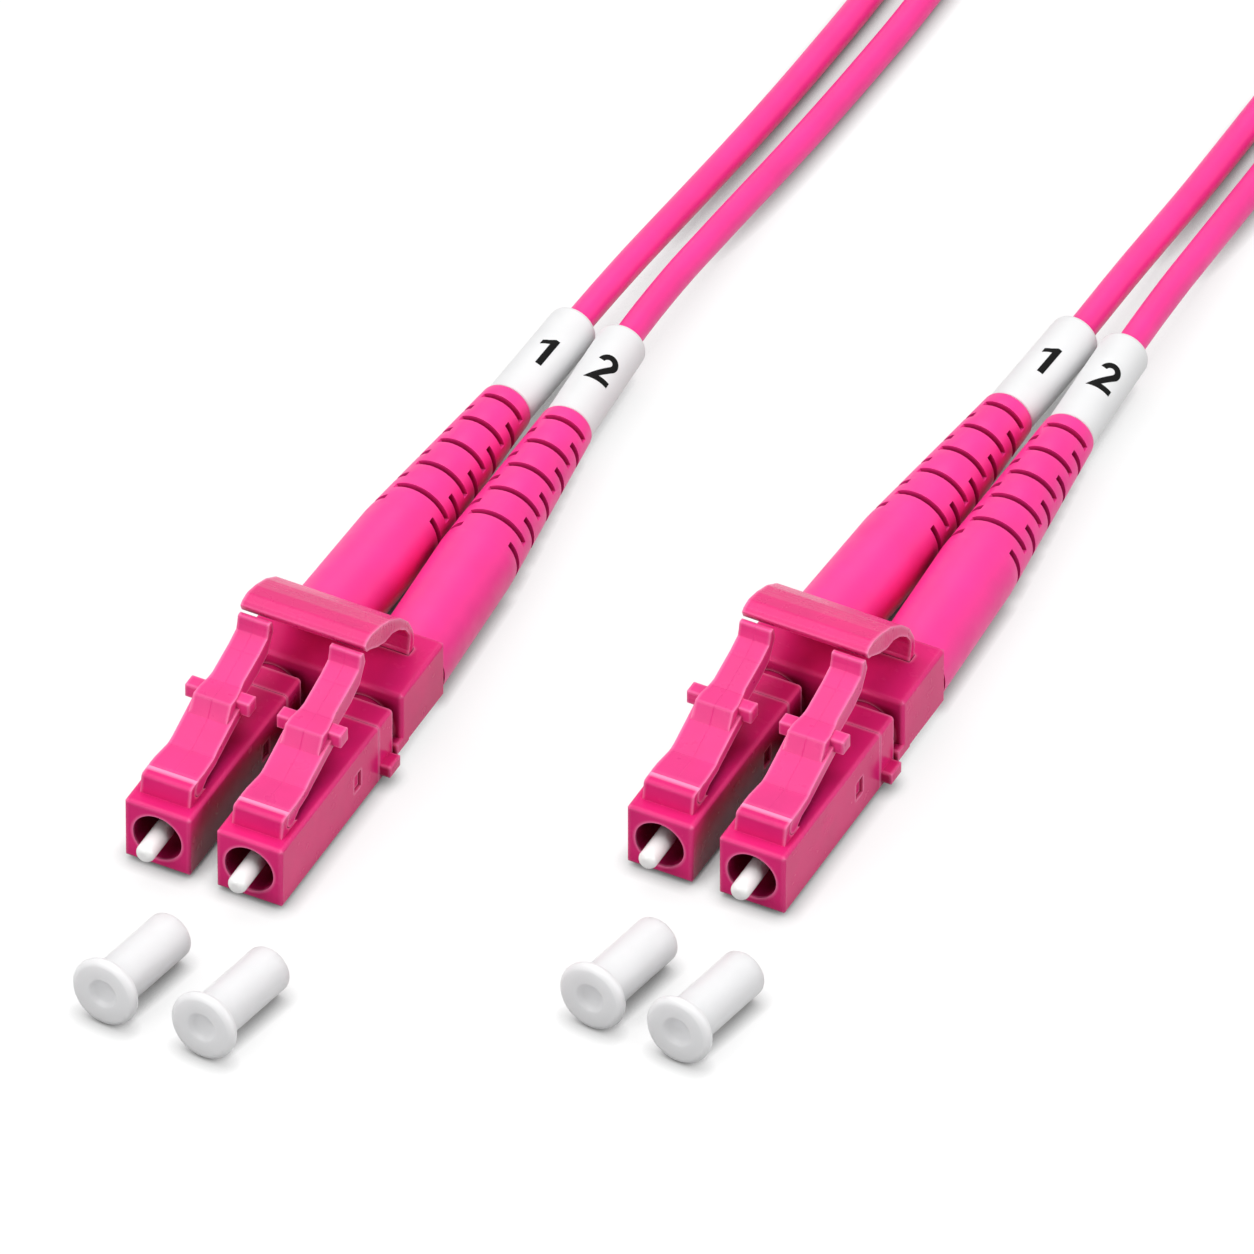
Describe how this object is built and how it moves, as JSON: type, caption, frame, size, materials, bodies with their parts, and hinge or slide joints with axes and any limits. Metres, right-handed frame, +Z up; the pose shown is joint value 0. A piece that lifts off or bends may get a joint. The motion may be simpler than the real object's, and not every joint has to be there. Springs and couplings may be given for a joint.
{
  "type": "fibre optic patch cord",
  "caption": "Duplex fibre optic patch cord: latched plugs with sprung ferrules, ribbed boots and numbered sleeves at both ends, a coiled cord, and loose dust caps.",
  "frame": {"origin": "on the surface that the part lies on, at the middle of the box of the plugs, sleeves and dust caps, without the free cord", "axes": "+X across the plugs towards end B, +Y along the plugs from their noses to the cord, +Z up"},
  "size_m": [0.0411, 0.1545, 0.0108],
  "materials": {
    "plug_magenta": "glossy moulded thermoplastic",
    "boot_pink": "soft satin elastomer",
    "cord_pink": "satin cable jacket",
    "sleeve_white": "matt sleeve with printed digit",
    "cap_milky": "milky satin polyethylene",
    "zirconia": "polished white zirconia",
    "nickel": "nickel plated brass",
    "spring_steel": "bright spring wire",
    "fibre_buffer": "smooth tight buffer",
    "tie_strap": "woven hook and loop strap"
  },
  "bodies": {
    "root": {"plug_housing_a1": "plug_magenta", "rear_body_a1": "plug_magenta", "spring_a1": "spring_steel", "crimp_sleeve_a1": "nickel", "fibre_a1": "fibre_buffer", "boot_a1": "boot_pink", "number_sleeve_a1": "sleeve_white", "plug_housing_a2": "plug_magenta", "rear_body_a2": "plug_magenta", "spring_a2": "spring_steel", "crimp_sleeve_a2": "nickel", "fibre_a2": "fibre_buffer", "boot_a2": "boot_pink", "number_sleeve_a2": "sleeve_white", "plug_housing_b1": "plug_magenta", "rear_body_b1": "plug_magenta", "spring_b1": "spring_steel", "crimp_sleeve_b1": "nickel", "fibre_b1": "fibre_buffer", "boot_b1": "boot_pink", "number_sleeve_b1": "sleeve_white", "plug_housing_b2": "plug_magenta", "rear_body_b2": "plug_magenta", "spring_b2": "spring_steel", "crimp_sleeve_b2": "nickel", "fibre_b2": "fibre_buffer", "boot_b2": "boot_pink", "number_sleeve_b2": "sleeve_white", "duplex_clip_a": "plug_magenta", "duplex_clip_b": "plug_magenta", "cord_1_a": "cord_pink", "cord_2_a": "cord_pink", "cord_1_b": "cord_pink", "cord_2_b": "cord_pink", "cord_coil": "cord_pink", "coil_tie": "tie_strap"},
    "ferrule_body_a1": {"ferrule_a1": "zirconia", "ferrule_flange_a1": "nickel"},
    "ferrule_body_a2": {"ferrule_a2": "zirconia", "ferrule_flange_a2": "nickel"},
    "ferrule_body_b1": {"ferrule_b1": "zirconia", "ferrule_flange_b1": "nickel"},
    "ferrule_body_b2": {"ferrule_b2": "zirconia", "ferrule_flange_b2": "nickel"},
    "trigger_body_a": {"trigger_a": "plug_magenta"},
    "trigger_body_b": {"trigger_b": "plug_magenta"},
    "latch_body_a1": {"latch_a1": "plug_magenta"},
    "latch_body_a2": {"latch_a2": "plug_magenta"},
    "latch_body_b1": {"latch_b1": "plug_magenta"},
    "latch_body_b2": {"latch_b2": "plug_magenta"},
    "cap_body_a1": {"dust_cap_a1": "cap_milky"},
    "cap_body_a2": {"dust_cap_a2": "cap_milky"},
    "cap_body_b1": {"dust_cap_b1": "cap_milky"},
    "cap_body_b2": {"dust_cap_b2": "cap_milky"}
  },
  "joints": [
    {"name": "ferrule_push_a1", "type": "slide", "parent": "root", "child": "ferrule_body_a1", "axis": [0, 1, 0], "range_m": [0, 0.0008], "stiffness_N_per_m": 20, "springref_m": -0.002, "deforming": ["spring_a1"]},
    {"name": "ferrule_push_a2", "type": "slide", "parent": "root", "child": "ferrule_body_a2", "axis": [0, 1, 0], "range_m": [0, 0.0008], "stiffness_N_per_m": 20, "springref_m": -0.002, "deforming": ["spring_a2"]},
    {"name": "ferrule_push_b1", "type": "slide", "parent": "root", "child": "ferrule_body_b1", "axis": [0, 1, 0], "range_m": [0, 0.0008], "stiffness_N_per_m": 20, "springref_m": -0.002, "deforming": ["spring_b1"]},
    {"name": "ferrule_push_b2", "type": "slide", "parent": "root", "child": "ferrule_body_b2", "axis": [0, 1, 0], "range_m": [0, 0.0008], "stiffness_N_per_m": 20, "springref_m": -0.002, "deforming": ["spring_b2"]},
    {"name": "trigger_press_a", "type": "hinge", "parent": "root", "child": "trigger_body_a", "pos_m": [-0.01452, -0.0071, 0.00543], "axis": [1, 0, 0], "range_deg": [0, 8], "stiffness_Nm_per_rad": 0.0002, "springref_deg": -11.46},
    {"name": "trigger_press_b", "type": "hinge", "parent": "root", "child": "trigger_body_b", "pos_m": [0.01282, 0.00615, 0.00543], "axis": [1, 0, 0], "range_deg": [0, 8], "stiffness_Nm_per_rad": 0.0002, "springref_deg": -11.46},
    {"name": "latch_press_a1", "type": "hinge", "parent": "root", "child": "latch_body_a1", "pos_m": [-0.01765, -0.02395, 0.00549], "axis": [1, 0, 0], "range_deg": [-9.6, 0]},
    {"name": "latch_press_a2", "type": "hinge", "parent": "root", "child": "latch_body_a2", "pos_m": [-0.0114, -0.02395, 0.00549], "axis": [1, 0, 0], "range_deg": [-9.6, 0]},
    {"name": "latch_press_b1", "type": "hinge", "parent": "root", "child": "latch_body_b1", "pos_m": [0.0097, -0.0107, 0.00549], "axis": [1, 0, 0], "range_deg": [-9.6, 0]},
    {"name": "latch_press_b2", "type": "hinge", "parent": "root", "child": "latch_body_b2", "pos_m": [0.01595, -0.0107, 0.00549], "axis": [1, 0, 0], "range_deg": [-9.6, 0]},
    {"name": "cap_lift_a1", "type": "slide", "parent": "root", "child": "cap_body_a1", "axis": [0, 0, 1], "range_m": [0, 0.02]},
    {"name": "cap_lift_a2", "type": "slide", "parent": "root", "child": "cap_body_a2", "axis": [0, 0, 1], "range_m": [0, 0.02]},
    {"name": "cap_lift_b1", "type": "slide", "parent": "root", "child": "cap_body_b1", "axis": [0, 0, 1], "range_m": [0, 0.02]},
    {"name": "cap_lift_b2", "type": "slide", "parent": "root", "child": "cap_body_b2", "axis": [0, 0, 1], "range_m": [0, 0.02]}
  ],
  "couplings": [
    {"joint": "latch_press_a1", "follows": "trigger_press_a", "ratio": -1.2},
    {"joint": "latch_press_a2", "follows": "trigger_press_a", "ratio": -1.2},
    {"joint": "latch_press_b1", "follows": "trigger_press_b", "ratio": -1.2},
    {"joint": "latch_press_b2", "follows": "trigger_press_b", "ratio": -1.2}
  ]
}
